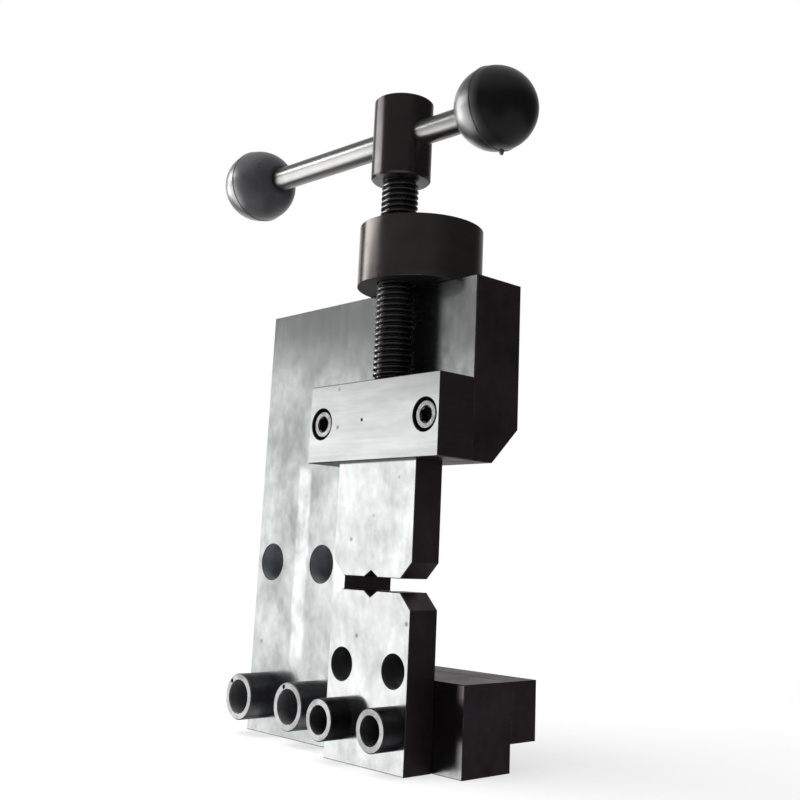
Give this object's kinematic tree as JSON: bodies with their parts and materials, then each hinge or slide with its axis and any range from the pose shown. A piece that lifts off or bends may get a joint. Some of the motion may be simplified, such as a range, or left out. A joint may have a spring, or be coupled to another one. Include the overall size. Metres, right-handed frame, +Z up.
{
  "type": "injector holding fixture",
  "caption": "C-shaped steel bench fixture whose screw and sliding T-bar close a notched jaw on an injector body, with work bushes and a heel for gripping in a vise.",
  "frame": {"origin": "on the foot of the back plate, at mid thickness, straight below the screw's axis", "axes": "+Z up along the screw, +X along the plate towards the open end of the throat, -Y towards the jaws and the bushes"},
  "size_m": [0.1555, 0.0601, 0.2288],
  "materials": {
    "black_steel": "ground, blackened and oiled",
    "jaw_steel": "ground, blackened and oiled",
    "turned_steel": "turned and blackened, satin",
    "screw_steel": "cut thread, blackened and oiled",
    "bush_steel": "blackened sides, bright ends",
    "fastener_steel": "black oxide",
    "bright_steel": "polished rod",
    "knob_plastic": "glossy moulded",
    "insert_steel": "turned and blackened"
  },
  "bodies": {
    "frame": {"back_plate": "black_steel", "heel_block": "black_steel", "heel_screws": "fastener_steel", "jaw_screws": "fastener_steel", "lower_jaw": "jaw_steel", "retainer_block": "black_steel", "retainer_screws": "fastener_steel", "spine_bush_left": "bush_steel", "spine_bush_right": "bush_steel", "jaw_bush_left": "bush_steel", "jaw_bush_right": "bush_steel", "screw_nut": "turned_steel", "nut_screws": "fastener_steel"},
    "jaw": {"upper_jaw": "jaw_steel", "jaw_link_pins": "bright_steel"},
    "screw": {"lead_screw": "screw_steel", "handle_hub": "turned_steel", "hub_grub_screw": "fastener_steel"},
    "handle": {"t_bar": "bright_steel", "knob_left": "knob_plastic", "knob_right": "knob_plastic", "knob_insert_left": "insert_steel", "knob_insert_right": "insert_steel"}
  },
  "joints": [
    {"name": "jaw_slide", "type": "slide", "parent": "frame", "child": "jaw", "axis": [0, 0, 1], "range_m": [-0.00425, 0.03405]},
    {"name": "screw_turn", "type": "hinge", "parent": "jaw", "child": "screw", "pos_m": [0, -0.0182, 0.16], "axis": [0, 0, 1], "range_deg": [-756, 6120]},
    {"name": "bar_slide", "type": "slide", "parent": "screw", "child": "handle", "axis": [0.9986, 0.0523, 0], "range_m": [-0.0202, 0.059]}
  ],
  "couplings": [
    {"joint": "jaw_slide", "follows": "screw_turn", "m_per_rad": 0.00031831}
  ]
}
